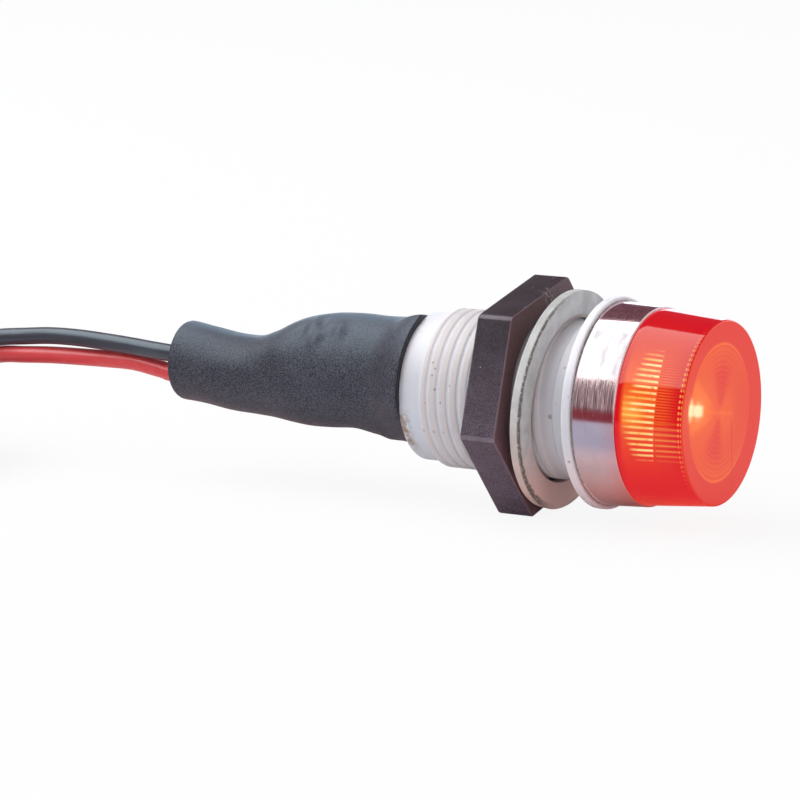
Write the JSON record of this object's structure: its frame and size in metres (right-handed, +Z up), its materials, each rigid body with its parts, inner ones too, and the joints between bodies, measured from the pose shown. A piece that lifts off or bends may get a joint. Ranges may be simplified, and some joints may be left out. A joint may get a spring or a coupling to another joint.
{
  "type": "panel indicator lamp",
  "caption": "Panel-mount indicator lamp with a red fluted lens, chrome bezel, threaded shank with washer and hexagon nut, heat-shrunk tail and flying leads for a control panel",
  "frame": {"origin": "centre of the flange's rear face, in the plane of the panel's front surface", "axes": "+X along the lamp's axis toward the lens, +Z up as pictured, +Y away from the camera"},
  "size_m": [0.0972, 0.0352, 0.0202],
  "materials": {
    "lens_red": "clear red moulded plastic, polished outside, fluted inside",
    "bezel_chrome": "chrome plate over fine turning lines",
    "housing_white": "slightly translucent white moulded plastic",
    "washer_grey": "die-cut grey fibre or plastic sheet",
    "nut_black": "moulded black plastic, semi-matte",
    "diode_red": "tinted clear epoxy",
    "tinned_wire": "tinned wire",
    "solder": "bright solder",
    "resistor_tan": "lacquer coat",
    "sleeve_black": "matte heat-shrunk tube, softly crumpled",
    "insulation_black": "smooth soft insulation",
    "insulation_red": "smooth soft insulation",
    "tie_white": "plain plastic band"
  },
  "bodies": {
    "lamp": {"lens_cap": "lens_red", "bezel_ring": "bezel_chrome", "housing": "housing_white", "led_body": "diode_red", "led_cathode_leg": "tinned_wire", "led_anode_leg": "tinned_wire", "led_holder": "housing_white", "resistor_body": "resistor_tan", "resistor_front_wire": "tinned_wire", "resistor_rear_wire": "tinned_wire", "cathode_joint": "solder", "black_joint": "solder", "red_joint": "solder", "red_joint_sleeve": "sleeve_black", "heat_shrink_sleeve": "sleeve_black", "black_conductor": "tinned_wire", "black_lead": "insulation_black", "black_lead_tip": "tinned_wire", "red_conductor": "tinned_wire", "red_lead": "insulation_red", "red_lead_tip": "tinned_wire", "lead_tie": "tie_white"},
    "washer": {"panel_washer": "washer_grey"},
    "nut": {"hex_nut": "nut_black"}
  },
  "joints": [
    {"name": "clamp_slide", "type": "slide", "parent": "lamp", "child": "washer", "axis": [1, 0, 0], "range_m": [-0.006, 0.0029]},
    {"name": "nut_turn", "type": "hinge", "parent": "washer", "child": "nut", "pos_m": [-0.00735, 0, 0], "axis": [1, 0, 0], "range_deg": [-2160, 1044]}
  ],
  "couplings": [
    {"joint": "nut_turn", "follows": "clamp_slide", "rad_per_m": 6283.2}
  ]
}
